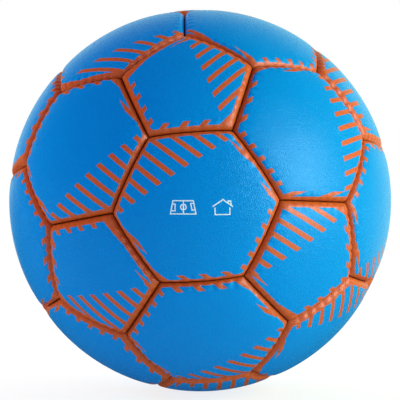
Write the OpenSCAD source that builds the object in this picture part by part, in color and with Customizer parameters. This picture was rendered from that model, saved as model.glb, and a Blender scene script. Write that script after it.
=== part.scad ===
// Hand-stitched handball of 32 leather panels round an air-filled bladder, in millimetres.
// The ball's centre is the origin. -Y runs through the front hexagon, +Y through the valve, +Z is up.

/* [Ball] */
// Outer diameter of the inflated ball
ball_d = 188; // [176:1:196]
// Turn of the front hexagon about the valve's axis, in degrees, anticlockwise from the front
front_turn = 4.5; // [0:0.5:60]

/* [Panel skin] */
// Thickness of the synthetic leather
skin_t = 1.2; // [0.9:0.1:1.6]
// Outside radius of the fold where a panel turns into its seams
fold_r = 3.2; // [2.6:0.1:4]
// Angle by which the fold breaks from the round of the ball, in degrees
fold_break = 10; // [8:1:13]
// Distance from the fold down to the line of stitches
fold_to_stitch = 1.6; // [1.2:0.1:2.4]
// Distance from the line of stitches to the panel's cut edge
seam_allowance = 2.2; // [1.6:0.1:3]

/* [Lining] */
// Thickness of the cloth laminate glued behind the skin
lining_t = 1.2; // [0.8:0.1:1.8]

/* [Seam thread] */
// Diameter of the thread in a stitch hole
thread_d = 0.8; // [0.6:0.05:1]
// Width of the thread where it is pulled flat along a seam
thread_flat_w = 1.2; // [1.1:0.05:1.5]
// Clearance of a stitch hole all round the thread
thread_clear = 0.05; // [0.02:0.01:0.1]
// Distance between two stitches
stitch_pitch = 4.6; // [3.8:0.1:5]
// Stitches along each side of a panel
stitch_count = 7; // [4:1:7]

/* [Bladder] */
// Wall of the rubber bladder
bladder_t = 1.4; // [0.8:0.1:2]

/* [Valve] */
// Diameter of the hole through skin and lining
valve_hole_d = 6.6; // [6:0.1:8]
// Clearance all round the valve's neck in that hole
valve_neck_clear = 0.2; // [0.1:0.05:0.4]
// Depth of the neck's rim below the ball's surface
valve_recess = 0.5; // [0.3:0.1:1]
// Diameter of the housing under the lining
valve_body_d = 12; // [10:0.5:16]
// Diameter of the flange bonded to the bladder
valve_flange_d = 30; // [20:1:36]
// Thickness of that flange
valve_flange_t = 1; // [0.8:0.1:1.5]
// Diameter of the housing's barrel inside the bladder
valve_barrel_d = 9; // [8:0.5:12]
// Length of the barrel inside the bladder
valve_barrel_l = 8; // [5:0.5:12]
// Diameter of the rubber core
core_d = 4.4; // [3.6:0.1:5]
// Depth of the core's top below the neck's rim
core_recess = 0.4; // [0.2:0.1:0.8]
// Diameter of the core's foot, which holds it under the barrel
core_foot_d = 7; // [5.5:0.5:8]
// Height of the foot
core_foot_h = 2.2; // [1.8:0.1:3]
// Thickness of the slit web that closes the foot
core_web_t = 1.5; // [0.8:0.1:1.6]
// Diameter of the bore that guides the inflating needle
needle_bore_d = 1.9; // [1.6:0.1:2.4]
// Mouth of the funnel at the bore's top
funnel_d = 3; // [2.6:0.1:3.4]
// Depth of the funnel
funnel_h = 0.8; // [0.5:0.1:1]

/* [Hidden] */
HEXAGONS = 20;
PENTAGONS = 12;
HEXAGON_PANELS = [for (k = [1 : HEXAGONS]) numbered("hexagon_panel_", k)];
PENTAGON_PANELS = [for (k = [1 : PENTAGONS]) numbered("pentagon_panel_", k)];
$fn = 144;

// How far a cut runs past the piece it cuts
overrun = 2;

ball_r = ball_d / 2;
lining_r = ball_r - skin_t;
lining_inner_r = lining_r - lining_t;
stitch_r = ball_r - fold_r - fold_to_stitch;
bladder_r = stitch_r - seam_allowance;
bladder_inner_r = bladder_r - bladder_t;

// The fold is a ring round the seam plane's axis. Its centre lies where the ring crosses the ball's
// surface at fold_break.
fold_cross_z = fold_r * (1 - sin(fold_break));
fold_centre_r = sqrt(pow(ball_r, 2) - pow(fold_cross_z, 2)) - fold_r * cos(fold_break);

neck_top = ball_r - valve_recess;
neck_d = valve_hole_d - 2 * valve_neck_clear;
core_top = neck_top - core_recess;
barrel_bottom = bladder_inner_r - valve_barrel_l;
core_bottom = barrel_bottom - core_foot_h;

SKIN_BLUE = [0.02, 0.38, 0.68];
LINING_WHITE = [0.85, 0.83, 0.78];
THREAD_DARK = [0.16, 0.05, 0.06];
BLADDER_BLACK = [0.09, 0.09, 0.1];
HOUSING_GREY = [0.2, 0.2, 0.21];
CORE_GREY = [0.32, 0.32, 0.33];

// ---------------------------------------------------------------------------------------------------

// A node's name with its two-digit number
function numbered(name, k) = str(name, k < 10 ? "0" : "", k);

// The solid is a truncated icosahedron, whose corners and face centres follow the golden ratio
golden = (1 + sqrt(5)) / 2;
corner_share = sqrt(58 + 18 * sqrt(5)) / 4;
function unit(v) = v / norm(v);
function cycled(v) = [v, [v[1], v[2], v[0]], [v[2], v[0], v[1]]];

// A face centre in the part's frame: one hexagon at -Y, with a pentagon above it
front = unit([1, 1, 1]);
above = unit([0, 1, golden]);
row_z = unit(above - (above * front) * front);
row_x = cross(-front, row_z);
function in_row(v) = [unit(v) * row_x, unit(v) * -front, unit(v) * row_z];

// Face centres in order from the front to the valve, and round the valve's axis within a ring
function ring_order(v) = round(1000 * v[1]) + ((atan2(v[2], v[0]) + 361) % 360) / 360;
function in_order(list) = len(list) < 2 ? list : let (first = ring_order(list[0])) concat(
    in_order([for (v = list) if (ring_order(v) < first) v]),
    [for (v = list) if (ring_order(v) == first) v],
    in_order([for (v = list) if (ring_order(v) > first) v])
);
ways = [-1, 1];
pentagon_centres = in_order([
    for (a = ways) for (b = ways) for (v = cycled([0, a, b * golden])) in_row(v)
]);
hexagon_centres = in_order(concat(
    [for (a = ways) for (b = ways) for (c = ways) in_row([a, b, c])],
    [for (a = ways) for (b = ways) for (v = cycled([0, a * golden, b / golden])) in_row(v)]
));

// Faces whose centres are under 60 degrees apart are neighbours
function neighbours(centre, others) = [for (o = others) if (centre * o > cos(60) && centre * o < cos(1)) o];

// A panel's own frame: Z out through its centre and X towards the middle of its first side
function panel_frame(centre, first) = let (
    x = unit(first - (first * centre) * centre),
    y = cross(centre, x)
) [
    [x[0], y[0], centre[0], 0],
    [x[1], y[1], centre[1], 0],
    [x[2], y[2], centre[2], 0],
    [0, 0, 0, 1]
];

// Angle at the ball's centre from a panel's centre to the middle of a side
function side_angle(sides) = atan(
    1 / (2 * tan(180 / sides)) / sqrt(pow(corner_share, 2) - pow(1 / (2 * sin(180 / sides)), 2))
);

// Angle round a seam's axis of a distance along the stitches
function along_seam(distance) = distance / stitch_r * 180 / PI;

// The part stands turned as the front hexagon does
module row() {
    rotate([0, -front_turn, 0]) children();
}

// Places a child in the frame of a hexagon, whose sides 0, 2 and 4 meet pentagons
module at_hexagon(k) {
    centre = hexagon_centres[k - 1];
    row() multmatrix(panel_frame(centre, neighbours(centre, pentagon_centres)[0])) children();
}

// Places a child in the frame of a pentagon
module at_pentagon(k) {
    centre = pentagon_centres[k - 1];
    row() multmatrix(panel_frame(centre, neighbours(centre, hexagon_centres)[0])) children();
}

// A side's frame: Z is the seam plane's axis into the panel and X runs out through the side's middle
module at_side(sides, side) {
    rotate([0, side_angle(sides) - 90, side * 360 / sides]) children();
}

// Section through one side of a panel, some depth below its outer face
module side_section(depth) {
    translate([0, depth]) square([fold_centre_r, ball_r]);
    translate([0, fold_r]) square([fold_centre_r + fold_r - depth, ball_r]);
    translate([fold_centre_r, fold_r]) circle(fold_r - depth);
}

// The space inside a panel's outer face, some depth below it, down to the ball's centre
module panel_space(sides, depth) {
    intersection() {
        sphere(ball_r - depth);
        intersection_for(side = [0 : sides - 1])
            at_side(sides, side) rotate_extrude() side_section(depth);
    }
}

// Places a child at each stitch of a side, with Z through the seam
module at_stitches() {
    for (i = [0 : stitch_count - 1])
        rotate([0, 0, along_seam((i - (stitch_count - 1) / 2) * stitch_pitch)])
            translate([stitch_r, 0, 0]) children();
}

// Skin of a panel: domed face, folds and the sewn edges that stand inwards, with their stitch holes
module skin(sides) {
    difference() {
        panel_space(sides, 0);
        panel_space(sides, skin_t);
        sphere(bladder_r);
        for (side = [0 : sides - 1])
            at_side(sides, side) at_stitches()
                translate([0, 0, -overrun])
                    cylinder(d = thread_d + 2 * thread_clear, h = skin_t + 2 * overrun);
    }
}

// Cloth behind the skin, cut back to the folds so that the seams stay thin
module lining(sides) {
    difference() {
        intersection() {
            sphere(lining_r);
            intersection_for(side = [0 : sides - 1])
                at_side(sides, side) translate([0, -ball_r, fold_r]) cube([ball_r, ball_d, ball_r]);
        }
        sphere(lining_inner_r);
    }
}

// Hole for the valve through the middle of a panel
module valve_hole() {
    cylinder(d = valve_hole_d, h = ball_r + overrun);
}

module hexagon_panel(k) {
    color(SKIN_BLUE) at_hexagon(k) difference() {
        skin(6);
        if (k == HEXAGONS) valve_hole();
    }
}

module pentagon_panel(k) {
    color(SKIN_BLUE) at_pentagon(k) skin(5);
}

module hexagon_linings() {
    color(LINING_WHITE) for (k = [1 : HEXAGONS])
        at_hexagon(k) difference() {
            lining(6);
            if (k == HEXAGONS) valve_hole();
        }
}

module pentagon_linings() {
    color(LINING_WHITE) for (k = [1 : PENTAGONS]) at_pentagon(k) lining(5);
}

// Thread of one seam: a flat run on each of the two sewn edges, and the stitches between them
module seam_thread() {
    run_angle = along_seam((stitch_count - 1) * stitch_pitch + 2 * thread_d);
    at_stitches() cylinder(d = thread_d, h = 2 * skin_t + thread_d, center = true);
    for (way = ways)
        rotate([0, 0, -run_angle / 2]) rotate_extrude(angle = run_angle)
            translate([stitch_r, way * skin_t]) intersection() {
                circle(d = thread_flat_w);
                translate([-thread_flat_w / 2, way > 0 ? 0 : -thread_flat_w]) square(thread_flat_w);
            }
}

module hexagon_pentagon_threads() {
    color(THREAD_DARK) for (k = [1 : PENTAGONS])
        at_pentagon(k) for (side = [0 : 4]) at_side(5, side) seam_thread();
}

// Each seam between two hexagons is sewn once, from the one with the lower number
module hexagon_hexagon_threads() {
    color(THREAD_DARK) for (k = [1 : HEXAGONS]) {
        centre = hexagon_centres[k - 1];
        for (other = neighbours(centre, hexagon_centres))
            if (ring_order(other) > ring_order(centre))
                row() multmatrix(panel_frame(centre, other)) at_side(6, 0) seam_thread();
    }
}

module bladder() {
    color(BLADDER_BLACK) row() rotate([-90, 0, 0]) difference() {
        sphere(bladder_r);
        sphere(bladder_inner_r);
        cylinder(d = valve_barrel_d, h = ball_r);
    }
}

// Rubber housing: flange on the bladder, body up to the lining, neck in the panel's hole, barrel inside
module valve_housing() {
    color(HOUSING_GREY) row() rotate([-90, 0, 0]) difference() {
        union() {
            difference() {
                union() {
                    intersection() {
                        cylinder(d = valve_flange_d, h = ball_r);
                        sphere(bladder_r + valve_flange_t);
                    }
                    intersection() {
                        cylinder(d = valve_body_d, h = ball_r);
                        sphere(lining_inner_r);
                    }
                }
                sphere(bladder_r);
            }
            translate([0, 0, barrel_bottom]) cylinder(d = valve_barrel_d, h = bladder_r - barrel_bottom);
            translate([0, 0, bladder_r]) cylinder(d = neck_d, h = neck_top - bladder_r);
        }
        translate([0, 0, barrel_bottom - overrun]) cylinder(d = core_d, h = ball_r);
    }
}

// Rubber core: plug with a foot under the barrel and a funnel and bore for the inflating needle
module valve_core() {
    color(CORE_GREY) row() rotate([-90, 0, 0]) difference() {
        union() {
            translate([0, 0, core_bottom]) cylinder(d = core_foot_d, h = core_foot_h);
            translate([0, 0, core_bottom]) cylinder(d = core_d, h = core_top - core_bottom);
        }
        translate([0, 0, core_bottom + core_web_t]) cylinder(d = needle_bore_d, h = ball_r);
        translate([0, 0, core_top - funnel_h])
            cylinder(d1 = needle_bore_d, d2 = funnel_d, h = funnel_h);
    }
}

for (k = [1 : HEXAGONS])
    hexagon_panel(k);
for (k = [1 : PENTAGONS])
    pentagon_panel(k);
hexagon_linings();
pentagon_linings();
hexagon_pentagon_threads();
hexagon_hexagon_threads();
bladder();
valve_housing();
valve_core();
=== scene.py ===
import math
import random

import bpy
import numpy as np
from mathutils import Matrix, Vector, noise


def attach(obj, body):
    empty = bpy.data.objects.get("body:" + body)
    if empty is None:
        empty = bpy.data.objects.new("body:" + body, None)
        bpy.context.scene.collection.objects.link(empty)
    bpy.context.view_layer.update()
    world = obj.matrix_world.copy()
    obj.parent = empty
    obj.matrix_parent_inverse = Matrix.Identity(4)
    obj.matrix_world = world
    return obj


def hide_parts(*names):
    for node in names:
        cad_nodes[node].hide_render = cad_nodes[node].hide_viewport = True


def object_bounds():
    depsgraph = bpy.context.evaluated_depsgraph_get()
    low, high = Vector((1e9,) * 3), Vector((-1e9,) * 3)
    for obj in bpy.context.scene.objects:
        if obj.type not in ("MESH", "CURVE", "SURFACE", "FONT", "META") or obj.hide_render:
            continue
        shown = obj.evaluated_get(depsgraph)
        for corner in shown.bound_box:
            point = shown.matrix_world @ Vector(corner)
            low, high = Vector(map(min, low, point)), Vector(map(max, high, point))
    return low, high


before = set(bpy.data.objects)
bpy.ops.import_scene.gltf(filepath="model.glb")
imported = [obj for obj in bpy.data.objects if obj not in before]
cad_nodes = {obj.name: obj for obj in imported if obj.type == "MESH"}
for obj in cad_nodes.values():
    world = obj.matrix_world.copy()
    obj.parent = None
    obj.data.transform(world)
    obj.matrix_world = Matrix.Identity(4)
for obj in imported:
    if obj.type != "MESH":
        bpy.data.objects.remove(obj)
cad_box = [list(corner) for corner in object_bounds()]

# Bladder. The airtight ball inside is moulded from butyl rubber and dusted with talc, so that the
# lining slides on it while the ball is blown up. It keeps the CAD node's own mesh.

BLADDER_BLACK = (38, 38, 41)
TALC_WHITE = (168, 165, 158)
TALC_STRENGTH = 0.7
TALC_ROUGHENS = 0.3
TALC_LIFT = 0.0001
# Powder's specks are so much finer than its clouds, and weigh so much beside them. Without any cover it
# lies only where both add up to more than POWDER_BARE, and it fades in over POWDER_EDGE.
SPECKS_PER_CLOUD = 14.0
SPECK_SHARE = 0.5
POWDER_BARE = 1.05
POWDER_EDGE = 0.35


def linear(colour):
    """A colour of 0 to 255 as it is seen, in the linear values that a shader takes."""
    shares = [value / 255 for value in colour]
    return [s / 12.92 if s <= 0.04045 else ((s + 0.055) / 1.055) ** 2.4 for s in shares] + [1]


def put(tree, kind, inputs=None, **settings):
    """A node of a tree, with its settings, and its inputs as values or as sockets to link from."""
    made = tree.nodes.new(kind)
    for name, value in settings.items():
        setattr(made, name, value)
    for name, value in (inputs or {}).items():
        if isinstance(value, bpy.types.NodeSocket):
            tree.links.new(value, made.inputs[name])
        else:
            made.inputs[name].default_value = value
    return made


def calc(tree, operation, *values, clamp=False):
    """The result of a Math node."""
    made = put(tree, "ShaderNodeMath", dict(enumerate(values)), operation=operation, use_clamp=clamp)
    return made.outputs[0]


def mixed(tree, share, first, second):
    """A colour between two others."""
    made = put(tree, "ShaderNodeMix", {0: share, 6: first, 7: second}, data_type="RGBA")
    return made.outputs[2]


def ramp(tree, value, start, end):
    """0 below start and 1 above end, with a smooth step between them."""
    made = put(tree, "ShaderNodeMapRange", {"Value": value, "From Min": start, "From Max": end},
               interpolation_type="SMOOTHSTEP")
    return made.outputs[0]


def clouds(tree, place, scale, detail):
    """The outputs of a noise texture, a value of 0 to 1 and a colour."""
    return put(tree, "ShaderNodeTexNoise", {"Vector": place, "Scale": scale, "Detail": detail}).outputs


def effect(name, takes, gives):
    """A node group, with its inner inputs and outputs. takes holds (name, kind, value) for each input."""
    group = bpy.data.node_groups.new(name, "ShaderNodeTree")
    for label, kind, value in takes:
        socket = group.interface.new_socket(label, in_out="INPUT", socket_type="NodeSocket" + kind)
        if value is not None:
            socket.default_value = value
    for label, kind in gives:
        group.interface.new_socket(label, in_out="OUTPUT", socket_type="NodeSocket" + kind)
    inside = group.nodes.new("NodeGroupInput").outputs
    return group, inside, group.nodes.new("NodeGroupOutput").inputs


def finish(name, roughness):
    """A new material, its node tree, its shader and the place in the mesh that its patterns follow."""
    material = bpy.data.materials.new(name)
    material.use_nodes = True
    tree = material.node_tree
    shader = tree.nodes["Principled BSDF"]
    shader.inputs["Roughness"].default_value = roughness
    return material, tree, shader, put(tree, "ShaderNodeTexCoord").outputs["Object"]


def raised(tree, shader, height, depth):
    """Presses a height of 0 to 1 into the surface, to a depth in metres."""
    bump = put(tree, "ShaderNodeBump", {"Height": height, "Distance": depth})
    tree.links.new(bump.outputs[0], shader.inputs["Normal"])


def dress(names, material):
    """Gives CAD nodes a material."""
    for name in names:
        mesh = cad_nodes[name].data
        mesh.materials.clear()
        mesh.materials.append(material)


def powder_effect():
    """Powder that lies in clouds and specks on rubber."""
    group, inside, outside = effect(
        "powder",
        [("Place", "Vector", None), ("Size", "Float", 0.02), ("Cover", "Float", 0.5)],
        [("Mask", "Float"), ("Height", "Float")],
    )
    scale = calc(group, "DIVIDE", 1.0, inside["Size"])
    cloud = clouds(group, inside["Place"], scale, detail=6.0)[0]
    speck_scale = calc(group, "MULTIPLY", scale, SPECKS_PER_CLOUD)
    speck = clouds(group, inside["Place"], speck_scale, detail=3.0)[0]
    both = calc(group, "MULTIPLY_ADD", speck, SPECK_SHARE, cloud)
    edge = calc(group, "SUBTRACT", POWDER_BARE, inside["Cover"])
    group.links.new(ramp(group, both, edge, calc(group, "ADD", edge, POWDER_EDGE)), outside["Mask"])
    group.links.new(speck, outside["Height"])
    return group


powder = powder_effect()


def rubber(name, colour, roughness, powder_size, powder_cover):
    """Moulded rubber with powder on it."""
    material, tree, shader, place = finish(name, roughness)
    dust = put(tree, "ShaderNodeGroup", {"Place": place, "Size": powder_size, "Cover": powder_cover},
               node_tree=powder)
    cover = calc(tree, "MULTIPLY", dust.outputs["Mask"], TALC_STRENGTH)
    tree.links.new(mixed(tree, cover, linear(colour), linear(TALC_WHITE)), shader.inputs["Base Color"])
    rough = calc(tree, "MULTIPLY_ADD", dust.outputs["Mask"], TALC_ROUGHENS, roughness)
    tree.links.new(rough, shader.inputs["Roughness"])
    raised(tree, shader, dust.outputs["Height"], TALC_LIFT)
    return material


bladder_rubber = rubber("bladder rubber", BLADDER_BLACK, roughness=0.55, powder_size=0.03,
                        powder_cover=0.45)
dress(["bladder"], bladder_rubber)

# Valve. A soft rubber housing is bonded to the bladder and its neck fills the hole in the rear panel.
# The core is pressed into it and closes by itself round the needle. Both keep the CAD's own meshes.

HOUSING_GREY = (52, 52, 54)
CORE_GREY = (88, 88, 90)

housing_rubber = rubber("housing rubber", HOUSING_GREY, roughness=0.5, powder_size=0.006, powder_cover=0.25)
dress(["valve_housing"], housing_rubber)
core_rubber = rubber("core rubber", CORE_GREY, roughness=0.42, powder_size=0.004, powder_cover=0.15)
dress(["valve_core"], core_rubber)

# Linings. Layers of polyester and cotton cloth are glued behind each skin, to keep the ball round.
# They are cut a little smaller than the panels and keep the CAD nodes' own meshes.

LINING_CREAM = (226, 221, 206)
LINING_SHADE = (176, 168, 148)
LINING_THREAD = 0.00055
CLOTH_LIFT = 0.00015
# Heights of the weave below which it is all in shade, and above which it is all lit
WEAVE_SHADED, WEAVE_LIT = 0.25, 0.75


def weave_effect():
    """Plain weave, worked out from the place on two crossed sets of threads."""
    group, inside, outside = effect(
        "weave",
        [("Place", "Vector", None), ("Thread", "Float", 0.0005)],
        [("Mask", "Float"), ("Height", "Float")],
    )
    scale = calc(group, "DIVIDE", math.pi, inside["Thread"])
    axes = put(group, "ShaderNodeSeparateXYZ", {0: inside["Place"]}).outputs
    sines = [calc(group, "SINE", calc(group, "MULTIPLY", axis, scale)) for axis in axes]
    crossed = calc(group, "MULTIPLY", calc(group, "MULTIPLY", sines[0], sines[1]), sines[2])
    height = calc(group, "MULTIPLY_ADD", crossed, 0.5, 0.5, clamp=True)
    group.links.new(height, outside["Height"])
    group.links.new(ramp(group, height, WEAVE_SHADED, WEAVE_LIT), outside["Mask"])
    return group


weave = weave_effect()


def cloth(name, colour, shade, thread, roughness):
    """Woven cloth, darker between its threads."""
    material, tree, shader, place = finish(name, roughness)
    cross = put(tree, "ShaderNodeGroup", {"Place": place, "Thread": thread}, node_tree=weave)
    woven = mixed(tree, cross.outputs["Mask"], linear(shade), linear(colour))
    tree.links.new(woven, shader.inputs["Base Color"])
    raised(tree, shader, cross.outputs["Height"], CLOTH_LIFT)
    return material


lining_cloth = cloth("lining cloth", LINING_CREAM, LINING_SHADE, LINING_THREAD, roughness=0.85)
dress(["hexagon_linings", "pentagon_linings"], lining_cloth)

# Seam threads. Each seam is sewn by hand from inside with five-ply waxed polyester, two needles to a
# thread. They lie in the seams, 5 mm below the surface, and keep the CAD nodes' own meshes.

THREAD_MAROON = (70, 26, 24)
THREAD_WAX = (128, 74, 58)
PLY_LENGTH = 0.0016
PLY_WANDER = 1.5
PLY_LIFT = 0.0001

thread_finish, tree, shader, place = finish("waxed thread", roughness=0.5)
plies = put(tree, "ShaderNodeTexWave",
            {"Vector": place, "Scale": 0.5 / PLY_LENGTH, "Distortion": PLY_WANDER},
            bands_direction="DIAGONAL")
twisted = mixed(tree, plies.outputs[1], linear(THREAD_MAROON), linear(THREAD_WAX))
tree.links.new(twisted, shader.inputs["Base Color"])
raised(tree, shader, plies.outputs[1], PLY_LIFT)
dress(["hexagon_pentagon_threads", "hexagon_hexagon_threads"], thread_finish)

# Panels. 20 hexagons and 12 pentagons of blue synthetic leather, printed orange along the edges and
# in bars at one corner. Each edge is folded inwards and sewn, so that it rolls into the seam, and
# every stitch pulls a small dimple into the fold.

# The panels' forms are worked out in mm, and go into the meshes in metres.
BALL_R = 94.0
MM_PER_M = 1000
FOLD_R = 3.2
FOLD_CENTRE_R = 90.811
SEWN_EDGE_R = 87.05
SKIN_T = 1.2
SEAM_GAP = 0.02
# A panel's corners are rounded by this share of the distance from its seams, within these limits
CORNER_ROUND_SHARE = 0.45
CORNER_ROUND_FROM, CORNER_ROUND_TO = 0.3, 3
SHOULDER_DEPTH = 0.6
SHOULDER_REACH = 3.0
CREASE_SOFTNESS = 0.12
CREASE_FADE = 0.1
STITCH_PITCH = 4.6
STITCHES = 7
STITCH_STRAY = 0.3
PULL_LEAST, PULL_MOST = 0.6, 1.2
DIMPLE_DEPTH = 0.5
DIMPLE_WIDTH = 1.15
DIMPLE_FROM_SEAM = 1.5
WAVE_DEPTH = 0.05
WAVES_PER_R = 4.5
VALVE_HOLE_R = 3.3
VALVE_PANEL = 20
# The photograph shows the ball leaning to one side by this much
FRONT_TURN = math.radians(4.5)
GOLDEN = (1 + math.sqrt(5)) / 2


def unit(vector):
    """A vector's direction, as a vector that is 1 long."""
    return np.asarray(vector, float) / np.linalg.norm(vector)


def panel_centres():
    """Directions of the hexagons' and the pentagons' centres, in order from the front to the valve."""
    front, above = unit((1, 1, 1)), unit((0, 1, GOLDEN))
    up = unit(above - above.dot(front) * front)
    row = np.array([np.cross(-front, up), -front, up])
    signs = [(a, b, c) for a in (-1, 1) for b in (-1, 1) for c in (-1, 1)]

    def cycled(a, b):
        return [(0, a, b), (b, 0, a), (a, b, 0)]

    hexagons = signs + [way for a, b, c in signs if c > 0 for way in cycled(a * GOLDEN, b / GOLDEN)]
    pentagons = [way for a, b, c in signs if c > 0 for way in cycled(a, b * GOLDEN)]

    def order(way):
        """Sorts in rows from the front to the back, and round the ball in each row, from just under 0."""
        angle = math.degrees(math.atan2(way[2], way[0]))
        return round(way[1], 3), (angle + 1) % 360

    return [sorted((row @ unit(way) for way in kind), key=order) for kind in (hexagons, pentagons)]


def panel_axes(centre, others):
    """A panel's frame: X towards its first neighbour of the other kind and Z out through its middle."""
    first = next(other for other in others if other.dot(centre) > 0.5)
    x = unit(first - first.dot(centre) * centre)
    axes = np.array([x, np.cross(centre, x), centre])
    turn, swing = math.cos(FRONT_TURN), math.sin(FRONT_TURN)
    return axes @ np.array([[turn, 0, swing], [0, 1, 0], [-swing, 0, turn]])


def side_angle(sides):
    """Angle at the ball's centre from a panel's centre to the middle of a side."""
    # The solid of hexagons and pentagons whose edges are 1 long has its corners so far from its centre
    corner = math.sqrt(58 + 18 * math.sqrt(5)) / 4
    away = math.sqrt(corner ** 2 - (0.5 / math.sin(math.pi / sides)) ** 2)
    return math.atan(0.5 / math.tan(math.pi / sides) / away)


def seam_distances(flat, sides, reach):
    """Distance of points from each seam plane. flat is where they are seen on the panel's flat pattern."""
    angle = side_angle(sides)
    turns = np.arange(sides) * 2 * math.pi / sides
    out = flat @ np.array([np.cos(turns), np.sin(turns)])
    length = np.sqrt((flat ** 2).sum(1) + BALL_R ** 2)
    share = math.cos(angle) * (BALL_R * math.tan(angle) - out) / length[:, None]
    return share * np.asarray(reach).reshape(-1, 1)


def least(distances, spread=None):
    """The least of several distances, rounded where two of them are alike."""
    nearest = distances.min(1, keepdims=True)
    if spread is None:
        spread = CORNER_ROUND_SHARE * np.clip(nearest, CORNER_ROUND_FROM, CORNER_ROUND_TO)
    return (nearest - spread * np.log(np.exp((nearest - distances) / spread).sum(1, keepdims=True)))[:, 0]


def fold_depth(away):
    """Depth of the rolled edge below the round of the ball, some distance from the seam plane."""
    inner = np.clip(FOLD_R - away, 0, FOLD_R)
    round_r = np.hypot(FOLD_CENTRE_R + np.sqrt(FOLD_R ** 2 - inner ** 2), np.minimum(away, FOLD_R))
    rise = BALL_R - round_r - CREASE_FADE * np.maximum(away - FOLD_R, 0)
    return 0.5 * (rise + np.sqrt(rise ** 2 + CREASE_SOFTNESS ** 2))


def shoulder_depth(flat, sides):
    """How far the tight seams all round draw a panel's face down: most at its corners."""
    away = np.clip(seam_distances(flat, sides, BALL_R), 0, None)
    return SHOULDER_DEPTH * np.exp(-away / SHOULDER_REACH).sum(1)


# Rings are looked for within this share of the ball's radius, by halving so many times
RING_SEARCH_SHARE = 0.7
HALVINGS = 40


def ring(sides, count, away, reach):
    """Points all round a panel that lie some distance from its seam planes."""
    steps = np.linspace(-1, 1, count, endpoint=False)
    half = math.pi / sides
    turns = np.concatenate([2 * half * k + np.arctan(steps * math.tan(half)) for k in range(sides)])
    ways = np.stack([np.cos(turns), np.sin(turns)], 1)
    near, far = np.zeros(len(ways)), np.full(len(ways), RING_SEARCH_SHARE * BALL_R)
    for _ in range(HALVINGS):
        middle = (near + far) / 2
        inside = least(seam_distances(ways * middle[:, None], sides, reach)) > away
        near, far = np.where(inside, middle, near), np.where(inside, far, middle)
    return ways * near[:, None]


def strip(first, first_count, second, second_count):
    """Faces between two closed rings of points, whose counts may differ by a whole factor."""
    if first_count < second_count:
        return [face[::-1] for face in strip(second, second_count, first, first_count)]
    ratio = first_count // second_count
    faces = []
    for j in range(second_count):
        a, b = second + j, second + (j + 1) % second_count
        ends = [first + (j * ratio + i) % first_count for i in range(ratio + 1)]
        if ratio == 1:
            faces.append((ends[0], ends[1], b, a))
            continue
        turn = ratio // 2
        faces += [(ends[i], ends[i + 1], a) for i in range(turn)]
        faces.append((ends[turn], b, a))
        faces += [(ends[i], ends[i + 1], b) for i in range(turn, ratio)]
    return faces


# How many points a ring has along one side of its panel: inside, over the face, and in the fold
COARSE, MIDDLING, FINE = 9, 18, 54
INNER_R = BALL_R - SKIN_T
INNER_RING_SHARES = (0.2, 0.45, 0.7, 0.88, 1.0)
INNER_FOLD_ANGLES = (60, 30, 0)
SEWN_SIDE_R = (SEWN_EDGE_R, 89.0, 90.0)
FOLD_ANGLES = (0, 12, 22, 31, 40, 48, 56, 63, 70, 76, 82, 90)
# The shoulder's rings lie so far from the seam, and are fine up to the given distance
SHOULDER_RINGS = (3.8, 4.6, 5.6, 7.0)
FINE_UP_TO = 4
FACE_RINGS = 16
COARSE_SHARE = 0.35


def inner_rings(sides):
    """Rings out over a panel's inner face and down the inner side of its sewn edge, with their reach."""
    rim = ring(sides, COARSE, FOLD_R, INNER_R)
    rings = [(rim * share, INNER_R) for share in INNER_RING_SHARES]
    inner_fold_r = FOLD_R - SKIN_T
    for angle in INNER_FOLD_ANGLES:
        bend = math.radians(angle)
        away = FOLD_R - inner_fold_r * math.cos(bend)
        reach = math.hypot(FOLD_CENTRE_R + inner_fold_r * math.sin(bend), away)
        rings.append((ring(sides, COARSE, away, reach), reach))
    rings.append((ring(sides, COARSE, SKIN_T, SEWN_EDGE_R), SEWN_EDGE_R))
    return rings


def fold_rings(sides):
    """Rings up the outer side of a panel's sewn edge, round its fold and over its shoulder."""
    rings = [(ring(sides, FINE, SEAM_GAP, reach), reach) for reach in SEWN_SIDE_R]
    for angle in FOLD_ANGLES:
        away = SEAM_GAP + FOLD_R * (1 - math.cos(math.radians(angle)))
        reach = FOLD_CENTRE_R if angle == 0 else BALL_R - fold_depth(np.array([away]))[0]
        rings.append((ring(sides, FINE, away, reach), reach))
    for away in SHOULDER_RINGS:
        reach = BALL_R - fold_depth(np.array([away]))[0]
        count = MIDDLING if away > FINE_UP_TO else FINE
        rings.append((ring(sides, count, away, reach), reach))
    return rings


def face_rings(last, sides, hole_r):
    """Rings over the rest of the outer face, smaller and smaller about its middle, and one of its hole."""
    size = np.hypot(*last.T)[:, None]
    rings = []
    for k in range(1, FACE_RINGS):
        share = 1 - k / FACE_RINGS
        if share < COARSE_SHARE and len(last) > COARSE * sides:
            last, size = last[::2], size[::2]
        rings.append((last / size * (hole_r + (size - hole_r) * share), None))
    return rings, last / size * hole_r


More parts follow.
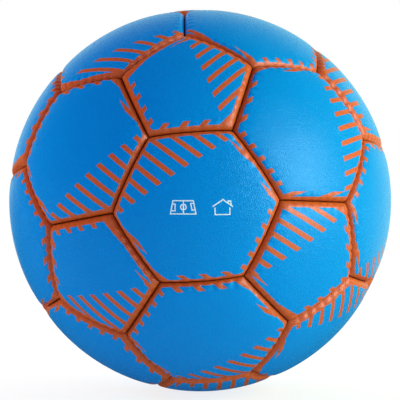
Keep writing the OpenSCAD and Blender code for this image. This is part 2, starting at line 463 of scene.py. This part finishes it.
def pattern(sides, hole_r):
    """A panel's points, on its flat pattern, with their reach from the ball's centre, its faces, and
    which of them are on its outer side. The rings run out over the inner face and back over the outer."""
    inside, fold = inner_rings(sides), fold_rings(sides)
    face, hole = face_rings(fold[-1][0], sides, hole_r)
    if hole_r:
        inside = [(hole, INNER_R)] + inside
        face.append((hole, None))
    rings = inside + fold + face
    flat, reach, faces, outer = [], [], [], []
    start, before = 0, None
    for k, (shape, distance) in enumerate(rings):
        flat.append(shape)
        if distance is None:
            away = least(seam_distances(shape, sides, BALL_R))
            reach.append(BALL_R - fold_depth(away))
        else:
            reach.append(np.full(len(shape), distance))
        if before is not None:
            made = strip(start - before, before, start, len(shape))
            faces += made
            outer += [k >= len(inside)] * len(made)
        before = len(shape)
        start += before
    # The first and the last ring are joined through the hole, or each is closed in the middle
    first_count, last_start = len(rings[0][0]), start - before
    if hole_r:
        faces += strip(last_start, before, 0, first_count)
        outer += [True] * before
        return np.concatenate(flat), np.concatenate(reach), faces, outer
    inner_fan = [((i + 1) % first_count, i, start) for i in range(first_count)]
    outer_fan = [(start + 1, last_start + i, last_start + (i + 1) % before) for i in range(before)]
    faces += inner_fan + outer_fan
    outer += [False] * first_count + [True] * before
    flat.append(np.zeros((2, 2)))
    reach.append(np.array([INNER_R, BALL_R]))
    return np.concatenate(flat), np.concatenate(reach), faces, outer


def stitch_dimples(flat, sides, dice):
    """Depth of the dimples that the stitches pull into the folds of a panel."""
    depth = np.zeros(len(flat))
    away = seam_distances(flat, sides, BALL_R)
    for side in range(sides):
        turn = side * 2 * math.pi / sides
        out = flat @ np.array([math.cos(turn), math.sin(turn)])
        along = flat @ np.array([-math.sin(turn), math.cos(turn)])
        run = BALL_R * np.arctan2(along, np.hypot(out, BALL_R))
        near = np.clip(away[:, side], 0, None) / DIMPLE_FROM_SEAM
        weight = near * np.exp(1 - near)
        pull = DIMPLE_DEPTH * dice.uniform(PULL_LEAST, PULL_MOST)
        for k in range(STITCHES):
            middle = (k - (STITCHES - 1) / 2) * STITCH_PITCH + dice.uniform(-STITCH_STRAY, STITCH_STRAY)
            share = dice.uniform(PULL_LEAST, PULL_MOST)
            depth += pull * share * weight * np.exp(-((run - middle) / DIMPLE_WIDTH) ** 2)
    return depth


# The print of a panel: the line where its bars begin lies so far from the middle, turned a little, and
# one bar crosses it off its middle. The bars slant to the corner and the edge line follows the seams.
HEXAGON_PRINT = {"start": 17.5, "line_slant": -1.0, "first_bar": 0.25, "slant": 17.2, "pitch": 6.96,
                 "border": 2.3, "tick_end": 4.6}
PENTAGON_PRINT = {"start": 8.3, "line_slant": -1.7, "first_bar": -4.2, "slant": 28.3, "pitch": 6.74,
                  "border": 3.1, "tick_end": 5.4}
# The two hexagons on top have steeper bars, and no edge line on the side where they meet.
TOP_PRINT = HEXAGON_PRINT | {"start": 19.1, "slant": 47.5, "open_side": 1}
TOP_HEXAGONS = (5, 6)
BAR_WIDTH = 2.3
PRINT_CORNER = 0.45
# The corner that each front panel's bars point to, and how far the panel was cut off its printed sheet:
# along, up and turned, in mm and degrees.
HEXAGON_CUTS = {
    1: (1, -0.1, -0.1, 0.7), 2: (4, 0.8, 0.8, 1.6), 3: (5, 0.5, -0.5, 1.4), 4: (3, 0.6, -0.8, 0.3),
    5: (4, 1.1, 0.6, -0.9), 6: (0, 0.3, -0.1, 1.4), 7: (4, 0.6, -0.2, 0.6), 8: (3, 0.0, 0.5, 0.7),
    9: (0, -0.6, 0.6, -0.4), 10: (2, 0.8, -0.7, 1.2),
}
PENTAGON_CUTS = {
    1: (2, 1.1, 0.0, -0.2), 2: (4, 0.8, 0.1, -0.3), 3: (0, 1.2, 0.0, 0.7), 4: (0, -0.2, -0.3, 1.1),
    5: (3, -0.1, 1.2, -2.1), 6: (0, -0.4, -0.1, 1.6),
}
# The rest are cut by chance, up to so far off, in mm and degrees.
CUT_STRAY = 1
CUT_TURN = 2


def print_place(flat, sides, cut, layout):
    """Each point's distance across the bars, past the line where they begin, and from the edge."""
    corner, along, up, turned = cut
    turn = math.radians(360 / sides * (corner - 0.5))
    swing = math.radians(turned)
    printed = (flat - [along, up]) @ np.array([[math.cos(swing), -math.sin(swing)],
                                               [math.sin(swing), math.cos(swing)]])

    def way(angle):
        return np.array([math.cos(turn + math.radians(angle)), math.sin(turn + math.radians(angle))])

    line = layout["line_slant"]
    tip = layout["start"] * way(line) + layout["first_bar"] * way(line + 90)
    across = (printed - tip) @ way(layout["slant"] + 90)
    past = (printed - tip) @ way(line)
    from_sides = seam_distances(printed, sides, BALL_R)
    if "open_side" in layout:
        from_sides = np.delete(from_sides, (corner + layout["open_side"]) % sides, axis=1)
    from_edge = least(from_sides, PRINT_CORNER)
    return np.stack([across, past, from_edge], 1)


# Coarse noise moves the pebbles about, and fine noise roughens them
WANDER_SCALE = 0.6
PEBBLE_EDGE = 0.3
PEBBLE_SHARE = 0.7
ROUGH_SCALE = 2.2
ROUGH_SHARE = 0.3


def grain_effect():
    """Fine pebbled grain of embossed synthetic leather."""
    group, inside, outside = effect(
        "leather grain",
        [("Place", "Vector", None), ("Pebble", "Float", 0.0008)],
        [("Height", "Float"), ("Pores", "Float")],
    )
    scale = calc(group, "DIVIDE", 1.0, inside["Pebble"])
    wander_scale = calc(group, "MULTIPLY", scale, WANDER_SCALE)
    wander = clouds(group, inside["Place"], wander_scale, detail=2.0)["Color"]
    shift = put(group, "ShaderNodeVectorMath", {0: wander, "Scale": inside["Pebble"]}, operation="SCALE")
    moved = put(group, "ShaderNodeVectorMath", {0: inside["Place"], 1: shift.outputs[0]}, operation="ADD")
    cells = put(group, "ShaderNodeTexVoronoi", {"Vector": moved.outputs[0], "Scale": scale},
                feature="DISTANCE_TO_EDGE")
    pebbles = ramp(group, cells.outputs["Distance"], 0.0, PEBBLE_EDGE)
    fine_scale = calc(group, "MULTIPLY", scale, ROUGH_SCALE)
    fine = clouds(group, inside["Place"], fine_scale, detail=3.0)[0]
    rounded = calc(group, "MULTIPLY", pebbles, PEBBLE_SHARE)
    group.links.new(calc(group, "MULTIPLY_ADD", fine, ROUGH_SHARE, rounded), outside["Height"])
    group.links.new(calc(group, "SUBTRACT", 1.0, pebbles), outside["Pores"])
    return group


def print_effect():
    """Ink of the edge line, the bars and the ticks, from a point's place on the printed panel."""
    group, inside, outside = effect(
        "stripe print",
        [("Layout", "Vector", None), ("Pitch", "Float", 7.0), ("Bar Width", "Float", 2.0),
         ("Border", "Float", 1.8), ("Tick End", "Float", 3.5), ("Bleed", "Float", 0.05)],
        [("Ink", "Float")],
    )
    across, past, from_seam = put(group, "ShaderNodeSeparateXYZ", {0: inside["Layout"]}).outputs
    half = calc(group, "MULTIPLY", inside["Pitch"], 0.5)
    bar = calc(group, "PINGPONG", across, half)
    width = calc(group, "MULTIPLY", inside["Bar Width"], 0.5)

    def over(value, limit):
        return ramp(group, value, calc(group, "SUBTRACT", limit, inside["Bleed"]),
                    calc(group, "ADD", limit, inside["Bleed"]))

    on_bar = calc(group, "SUBTRACT", 1.0, over(bar, width))
    outside_field = calc(group, "MAXIMUM", over(past, 0.0),
                         calc(group, "SUBTRACT", 1.0, over(from_seam, inside["Tick End"])))
    bars_shown = calc(group, "MULTIPLY", on_bar, outside_field)
    edge = calc(group, "SUBTRACT", 1.0, over(from_seam, inside["Border"]))
    group.links.new(calc(group, "MAXIMUM", bars_shown, edge), outside["Ink"])
    return group


grain = grain_effect()
stripes = print_effect()

SKIN_BLUE = (0, 132, 218)
SKIN_BLUE_DEEP = (0, 117, 203)
INK_ORANGE = (198, 90, 32)
INK_RUST = (178, 72, 20)
# The brown of dirt and painted shade in the seams
SEAM_DIRT_AND_SHADE = (84, 24, 8)
# The grain's sizes are in metres
PEBBLE = 0.0009
GRAIN_DEPTH = 0.00008
INK_LIFT_SHARE = 0.15
# Clouds of this scale take the blue and the orange to their deeper tones, and so does painted shade in the
# grooves between the grain's pebbles
CLOUD_SCALE = 60.0
BLUE_CLOUD_SHARE = 0.3
INK_CLOUD_SHARE = 0.4
PORE_PAINTED_SHADE_SHARE = 0.6
# Painted shade and dirt fill the seam up to the first distance from it, in mm, and end at the second
SEAM_SHADE_AND_DIRT_FULL, SEAM_SHADE_AND_DIRT_END = 0.05, 0.45
SEAM_SHADE_AND_DIRT_STRENGTH = 0.85
SKIN_ROUGHNESS = 0.22
INK_ROUGHENS = 0.14
PORES_ROUGHEN = 0.06
SHINE_LEVEL = 0.35
SHINE_TINT = (0.24, 0.75, 0.85, 1)
INK_COAT = 0.5
INK_COAT_ROUGHNESS = 0.42


def printed_skin(name, layout):
    """Blue coated skin with orange ink, grained all over, and dark in the seam with dirt and painted shade.
    """
    material, tree, shader, place = finish(name, SKIN_ROUGHNESS)
    printed = put(tree, "ShaderNodeAttribute", attribute_name="print_place").outputs["Vector"]
    ink = put(tree, "ShaderNodeGroup",
              {"Layout": printed, "Pitch": layout["pitch"], "Bar Width": BAR_WIDTH,
               "Border": layout["border"], "Tick End": layout["tick_end"]},
              node_tree=stripes).outputs["Ink"]
    pebbled = put(tree, "ShaderNodeGroup", {"Place": place, "Pebble": PEBBLE}, node_tree=grain).outputs
    # Colour: blue or orange, each in its two shades, and brown in the seam, where dirt and painted shade
    # lie
    cloud = clouds(tree, place, CLOUD_SCALE, detail=4.0)[0]
    # Painted shade in the grooves between the grain's pebbles, which deepens the blue and the orange
    painted_pore_shade = calc(tree, "MULTIPLY", pebbled["Pores"], PORE_PAINTED_SHADE_SHARE)
    blue_depth = calc(tree, "MULTIPLY_ADD", cloud, BLUE_CLOUD_SHARE, painted_pore_shade)
    blue = mixed(tree, blue_depth, linear(SKIN_BLUE), linear(SKIN_BLUE_DEEP))
    ink_depth = calc(tree, "MULTIPLY_ADD", cloud, INK_CLOUD_SHARE, painted_pore_shade)
    orange = mixed(tree, ink_depth, linear(INK_ORANGE), linear(INK_RUST))
    from_seam = put(tree, "ShaderNodeAttribute", attribute_name="from_seam").outputs["Fac"]
    free_of_seam_shade = ramp(tree, from_seam, SEAM_SHADE_AND_DIRT_FULL, SEAM_SHADE_AND_DIRT_END)
    seam_shade_and_dirt = calc(tree, "MULTIPLY", calc(tree, "SUBTRACT", 1.0, free_of_seam_shade), SEAM_SHADE_AND_DIRT_STRENGTH)
    colour = mixed(tree, seam_shade_and_dirt, mixed(tree, ink, blue, orange), linear(SEAM_DIRT_AND_SHADE))
    tree.links.new(colour, shader.inputs["Base Color"])
    # Shine: the ink is rougher than the skin, with a coat of its own
    rough = calc(tree, "MULTIPLY_ADD", ink, INK_ROUGHENS, SKIN_ROUGHNESS)
    rough = calc(tree, "MULTIPLY_ADD", pebbled["Pores"], PORES_ROUGHEN, rough)
    tree.links.new(rough, shader.inputs["Roughness"])
    shader.inputs["Specular IOR Level"].default_value = SHINE_LEVEL
    shader.inputs["Specular Tint"].default_value = SHINE_TINT
    tree.links.new(calc(tree, "MULTIPLY", ink, INK_COAT), shader.inputs["Coat Weight"])
    shader.inputs["Coat Roughness"].default_value = INK_COAT_ROUGHNESS
    height = calc(tree, "MULTIPLY_ADD", ink, INK_LIFT_SHARE, pebbled["Height"])
    raised(tree, shader, height, GRAIN_DEPTH)
    return material


BACKING_WHITE = (214, 212, 204)
BACKING_SHADE = (170, 166, 156)
BACKING_THREAD = 0.0004
SHARP_ANGLE = math.radians(50)

skins = {6: printed_skin("hexagon skin", HEXAGON_PRINT), 5: printed_skin("pentagon skin", PENTAGON_PRINT)}
backing = cloth("skin backing", BACKING_WHITE, BACKING_SHADE, BACKING_THREAD, roughness=0.9)
centres = dict(zip((6, 5), panel_centres()))
dice = random.Random(32)


def wave(direction):
    """Depth of the slow waves that a hand-sewn ball has on its surface."""
    return WAVE_DEPTH * (0.5 + 0.5 * noise.noise(Vector(direction) * WAVES_PER_R))


def formed(cut_pattern, sides, axes):
    """A pattern's points on the ball, in metres. Its outer side is waved, dimpled and drawn down."""
    flat, reach, faces, outer = cut_pattern
    local = np.column_stack([flat, np.full(len(flat), BALL_R)])
    ways = local / np.linalg.norm(local, axis=1, keepdims=True) @ axes
    waved = np.array([wave(way) for way in ways])
    dented = stitch_dimples(flat, sides, dice)
    outside = np.zeros(len(flat), bool)
    for face, shown in zip(faces, outer):
        if shown:
            outside[list(face)] = True
    near_face = np.clip((reach - SEWN_EDGE_R) / (FOLD_CENTRE_R - SEWN_EDGE_R), 0, 1)
    sunk = np.where(reach > FOLD_CENTRE_R, waved + dented, 0) + near_face * shoulder_depth(flat, sides)
    return ways * ((reach - np.where(outside, sunk, 0)) / MM_PER_M)[:, None]


def print_layout(sides, number):
    """The layout of the print on a panel."""
    if sides == 5:
        return PENTAGON_PRINT
    return TOP_PRINT if number in TOP_HEXAGONS else HEXAGON_PRINT


patterns = {(6, 0): pattern(6, 0), (5, 0): pattern(5, 0), (6, VALVE_HOLE_R): pattern(6, VALVE_HOLE_R)}
for sides, kind, cuts in ((6, "hexagon", HEXAGON_CUTS), (5, "pentagon", PENTAGON_CUTS)):
    for k, centre in enumerate(centres[sides], 1):
        hole_r = VALVE_HOLE_R if (sides, k) == (6, VALVE_PANEL) else 0
        cut_pattern = patterns[sides, hole_r]
        flat, _, faces, outer = cut_pattern
        points = formed(cut_pattern, sides, panel_axes(centre, centres[11 - sides]))
        mesh = bpy.data.meshes.new(f"{kind}_skin_{k:02}")
        mesh.from_pydata(points.tolist(), [], faces)
        chance = (dice.randrange(sides), dice.uniform(-CUT_STRAY, CUT_STRAY),
                  dice.uniform(-CUT_STRAY, CUT_STRAY), dice.uniform(-CUT_TURN, CUT_TURN))
        places = print_place(flat, sides, cuts.get(k, chance), print_layout(sides, k))
        stored = mesh.attributes.new("print_place", "FLOAT_VECTOR", "POINT")
        stored.data.foreach_set("vector", places.ravel())
        stored = mesh.attributes.new("from_seam", "FLOAT", "POINT")
        stored.data.foreach_set("value", seam_distances(flat, sides, BALL_R).min(1))
        mesh.materials.append(skins[sides])
        mesh.materials.append(backing)
        mesh.polygons.foreach_set("material_index", [0 if shown else 1 for shown in outer])
        mesh.validate()
        mesh.shade_smooth()
        mesh.set_sharp_from_angle(angle=SHARP_ANGLE)
        skin = bpy.data.objects.new(f"{kind}_skin_{k:02}", mesh)
        bpy.context.scene.collection.objects.link(skin)
        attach(skin, "root")
        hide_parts(f"{kind}_panel_{k:02}")

# Signs. Two small pictures are printed in white on the front panel: a playing court and a house, for
# a ball that is made for the hall. The ink lies as a thin film on the skin.

SIGN_WHITE = (206, 226, 240)
# Sizes in mm, and the signs' corners, up and to the left of the panel's middle
SIGN_LINE = 0.5
SIGN_LIFT = 0.03
SIGN_SINK = 0.06
SIGN_STEP = 1.2
MITRE_LEAST = 0.5
court = [(3.7, 9.6), (3.0, 0.8), (-2.8, 0.1), (-1.9, 11.2)]
half_way = [(3.3, 5.1), (-2.3, 5.5)]
ring_middle, ring_size, ring_points = (0.6, 5.3), 1.2, 24
centre_ring = [(ring_middle[0] + ring_size * math.cos(a), ring_middle[1] + ring_size * math.sin(a))
               for a in np.linspace(0, 2 * math.pi, ring_points, endpoint=False)]
left_goal = [(2.3, 10.1), (2.1, 8.8), (-0.7, 9.0), (-0.6, 10.7)]
right_goal = [(1.8, 0.6), (1.9, 2.0), (-1.0, 1.7), (-1.0, 0.3)]
roof = [(-0.2, -7.3), (2.5, -12.0), (-0.9, -16.2)]
walls = [(-0.7, -8.3), (-3.7, -8.1), (-4.2, -14.6), (-1.2, -14.8)]
chimney = [(0.7, -14.2), (1.7, -14.3), (1.6, -15.5), (0.0, -15.4)]
front_axes = panel_axes(centres[6][0], centres[5])


def sign_point(x, y, lift):
    """A point on the front panel, some way above its skin."""
    local = np.array([x, y, BALL_R])
    way = local / np.linalg.norm(local) @ front_axes
    flat = np.array([[x, y]])
    away = least(seam_distances(flat, 6, BALL_R))
    reach = BALL_R - fold_depth(away)[0] - shoulder_depth(flat, 6)[0] - wave(way) + lift
    return (way * reach / MM_PER_M).tolist()


def stroke(path, closed, points, faces):
    """A printed line along a path, a thin raised film with its edges sunk into the skin."""
    path = np.array(path, float)
    count = len(path)
    dense = []
    for i in range(count if closed else count - 1):
        a, b = path[i], path[(i + 1) % count]
        pieces = max(1, int(np.hypot(*(b - a)) / SIGN_STEP))
        dense += [a + (b - a) * k / pieces for k in range(pieces)]
    if not closed:
        dense.append(path[-1])
    dense = np.array(dense)
    total = len(dense)
    first = len(points)
    for i in range(total):
        after = dense[(i + 1) % total] if closed or i < total - 1 else dense[i]
        ahead = after - dense[i]
        behind = dense[i] - (dense[i - 1] if closed or i > 0 else dense[i])
        ahead = ahead / (np.hypot(*ahead) or 1)
        behind = behind / (np.hypot(*behind) or 1)
        along = ahead + behind
        along = along / np.hypot(*along)
        reach = SIGN_LINE / 2 / max(MITRE_LEAST, along.dot(ahead), along.dot(behind))
        aside = np.array([-along[1], along[0]]) * reach
        for way, lift in ((1, -SIGN_SINK), (1, SIGN_LIFT), (-1, SIGN_LIFT), (-1, -SIGN_SINK)):
            points.append(sign_point(*(dense[i] + way * aside), lift))
    for i in range(total if closed else total - 1):
        a, b = first + 4 * i, first + 4 * ((i + 1) % total)
        faces += [(a + j, b + j, b + j + 1, a + j + 1) for j in range(3)]
        faces.append((a + 3, b + 3, b, a))
    if not closed:
        last = first + 4 * (total - 1)
        faces.append(tuple(first + j for j in range(4)))
        faces.append(tuple(last + j for j in (3, 2, 1, 0)))


# The skin shows a little through the ink where the specks are higher than WEAR_FROM
SPECK_SCALE = 1400.0
SPECK_LIFT = 0.00003
WEAR_FROM, WEAR_FULL = 0.45, 0.8
WEAR_STRENGTH = 0.5

points, faces = [], []
for path, closed in ((court, True), (half_way, False), (centre_ring, True), (left_goal, False),
                     (right_goal, False), (roof, False), (walls, False), (chimney, False)):
    stroke(path, closed, points, faces)
mesh = bpy.data.meshes.new("front_signs")
mesh.from_pydata(points, [], faces)
sign_ink, tree, shader, place = finish("white ink", roughness=0.5)
speck = clouds(tree, place, SPECK_SCALE, detail=3.0)[0]
wear = calc(tree, "MULTIPLY", ramp(tree, speck, WEAR_FROM, WEAR_FULL), WEAR_STRENGTH)
tree.links.new(mixed(tree, wear, linear(SIGN_WHITE), linear(SKIN_BLUE)), shader.inputs["Base Color"])
raised(tree, shader, speck, SPECK_LIFT)
mesh.materials.append(sign_ink)
signs = bpy.data.objects.new("front_signs", mesh)
bpy.context.scene.collection.objects.link(signs)
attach(signs, "root")

# Floor and light. The ball stands on a pale floor in white surroundings. Soft lamps light it from the
# right, the left and behind on top, and one of them on the right is the highlight that it mirrors. It
# mirrors the bright backdrop and floor only behind it, along its rims.

FLOOR_WHITE = (250, 250, 250)
FLOOR_WIDTH = 8
FLOOR_DROP = 0.0002
FLOOR_ROUGHNESS = 0.8
SKY_LIGHT = (0.26, 0.18, 0.46, 1)
BACKDROP_LIGHT = (0.6, 0.95, 0.85, 1)
BACKDROP_WAY = (0.09, 0.99, -0.05)
FAR_FLOOR_WAY = (0.27, 0.96, 0.0)
WHITE = (1, 1, 1, 1)
BLACK = (0, 0, 0, 1)
# The ball mirrors what lies near these two ways: the cosines of the angles where it begins and is full
BEHIND_FROM, BEHIND_FULL = 0.6, 0.9
# The camera sees this share of glow in the floor by the ball, and only glow from GLOW_FULL on, in metres
GLOW_BY_BALL = 0.8
GLOW_FROM, GLOW_FULL = 0.15, 0.9
# The matt side of the ball takes this share
GLOW_ON_BALL = 0.48
# The ball mirrors little of the floor, and much of it behind, the more the further off, in metres
MIRRORED_LEAST = 0.05
MIRRORED_GAIN = 0.9
MIRRORED_FROM, MIRRORED_FULL = 0.05, 0.4

bpy.ops.mesh.primitive_plane_add(size=FLOOR_WIDTH, location=(0, 0, cad_box[0][2] - FLOOR_DROP))
floor = bpy.context.object
floor.name = "floor"
floor_finish, tree, shader, place = finish("floor", FLOOR_ROUGHNESS)
shader.inputs["Base Color"].default_value = linear(FLOOR_WHITE)
shader.inputs["Specular IOR Level"].default_value = 0.0
ray = put(tree, "ShaderNodeLightPath").outputs
away = put(tree, "ShaderNodeVectorMath", {0: place}, operation="LENGTH").outputs["Value"]
# How much of the floor's look is its own glow, for the camera, for the ball and in the ball's shine
far_off = ramp(tree, away, GLOW_FROM, GLOW_FULL)
to_camera = calc(tree, "MULTIPLY_ADD", far_off, 1 - GLOW_BY_BALL, GLOW_BY_BALL)
glow = calc(tree, "MULTIPLY", ray["Is Camera Ray"], to_camera)
glow = calc(tree, "MAXIMUM", glow, GLOW_ON_BALL)
glow = calc(tree, "MAXIMUM", glow, ray["Is Glossy Ray"])
# How bright the glow is: full, or in the ball's shine only behind the ball
toward = put(tree, "ShaderNodeVectorMath", {0: place, 1: FAR_FLOOR_WAY}, operation="DOT_PRODUCT")
cosine = calc(tree, "DIVIDE", toward.outputs["Value"], away)
far_behind = calc(tree, "MULTIPLY", ramp(tree, cosine, BEHIND_FROM, BEHIND_FULL),
                  ramp(tree, away, MIRRORED_FROM, MIRRORED_FULL))
mirrored = calc(tree, "MULTIPLY_ADD", far_behind, MIRRORED_GAIN, MIRRORED_LEAST)
strength = put(tree, "ShaderNodeMix", {0: ray["Is Glossy Ray"], 2: 1.0, 3: mirrored}, data_type="FLOAT")
colour = mixed(tree, ray["Is Glossy Ray"], WHITE, BACKDROP_LIGHT)
glowing = put(tree, "ShaderNodeEmission", {"Color": colour, "Strength": strength.outputs[0]})
blend = put(tree, "ShaderNodeMixShader", {0: glow, 1: shader.outputs[0], 2: glowing.outputs[0]})
tree.links.new(blend.outputs[0], tree.nodes["Material Output"].inputs["Surface"])
floor_finish.cycles.emission_sampling = "NONE"
floor.data.materials.append(floor_finish)

world = bpy.data.worlds.new("studio")
bpy.context.scene.world = world
world.use_nodes = True
world.cycles.sampling_method = "NONE"
tree = world.node_tree
ray = put(tree, "ShaderNodeLightPath").outputs
way = put(tree, "ShaderNodeTexCoord").outputs["Generated"]
toward = put(tree, "ShaderNodeVectorMath", {0: way, 1: BACKDROP_WAY}, operation="DOT_PRODUCT")
behind = ramp(tree, toward.outputs["Value"], BEHIND_FROM, BEHIND_FULL)
backdrop = mixed(tree, behind, BLACK, BACKDROP_LIGHT)
on_ball = mixed(tree, ray["Is Glossy Ray"], SKY_LIGHT, backdrop)
seen_white = calc(tree, "MAXIMUM", ray["Is Camera Ray"], ray["Is Transmission Ray"])
tree.links.new(mixed(tree, seen_white, on_ball, WHITE), tree.nodes["Background"].inputs["Color"])


def lamp(name, direction, distance, size, power, colour, diffuse, glossy):
    """A soft lamp that points at the ball's middle, and lights what is matt, what shines or both."""
    light = bpy.data.lights.new(name, "AREA")
    light.shape = "RECTANGLE"
    light.size, light.size_y = size
    light.energy = power
    light.color = colour
    # Keeps a lamp for what is matt out of the shine, where chance rays would bring it
    light.cycles.use_multiple_importance_sampling = glossy
    made = bpy.data.objects.new(name, light)
    way = Vector(direction).normalized()
    made.location = way * distance
    made.rotation_mode = "QUATERNION"
    made.rotation_quaternion = way.to_track_quat("Z", "Y")
    made.visible_diffuse = diffuse
    made.visible_glossy = glossy
    bpy.context.scene.collection.objects.link(made)


# Each lamp's direction, distance, size, power and colour, and whether it lights what is matt or shines
lamp("right softbox", (0.87, -0.48, 0.15), 1.2, (0.6, 1.0), 26, (1, 0.8, 0.77), False, True)
lamp("right key", (0.88, -0.45, 0.2), 1.2, (0.9, 1.1), 19, (0.78, 1.0, 0.57), True, False)
lamp("side fill", (1.0, 0.15, 0.3), 1.2, (1.6, 1.2), 22, (0.75, 1.0, 0.35), True, False)
lamp("left fill", (-1.0, 0.35, 0.3), 1.3, (1.6, 1.2), 28, (1.0, 1.0, 0.66), True, False)
lamp("top fill", (0.0, 0.8, 0.65), 1.3, (1.6, 1.2), 12, (1.0, 1.0, 0.8), True, False)

# Camera. It stands where the photograph was taken from, almost level with the ball's middle, and looks
# at it through a long lens. The shifts, shares of the picture's width, bring the ball to its place.

CAMERA_AZIMUTH = math.radians(1.15)
CAMERA_ELEVATION = math.radians(1.88)
CAMERA_DISTANCE = 0.697
LENS_LENGTH = 126.34
SENSOR_WIDTH = 36
SHIFT_ACROSS, SHIFT_UP = -0.0003, 0.0009
SIGHT_END = 50

back = Vector((math.sin(CAMERA_AZIMUTH) * math.cos(CAMERA_ELEVATION),
               -math.cos(CAMERA_AZIMUTH) * math.cos(CAMERA_ELEVATION), math.sin(CAMERA_ELEVATION)))
camera = bpy.data.objects.new("camera", bpy.data.cameras.new("camera"))
camera.data.lens = LENS_LENGTH
camera.data.sensor_width = SENSOR_WIDTH
camera.data.shift_x = SHIFT_ACROSS
camera.data.shift_y = SHIFT_UP
camera.data.clip_end = SIGHT_END
camera.location = back * CAMERA_DISTANCE
camera.rotation_mode = "QUATERNION"
camera.rotation_quaternion = back.to_track_quat("Z", "Y")
bpy.context.scene.collection.objects.link(camera)
bpy.context.scene.camera = camera
bpy.context.scene.view_settings.view_transform = "Standard"
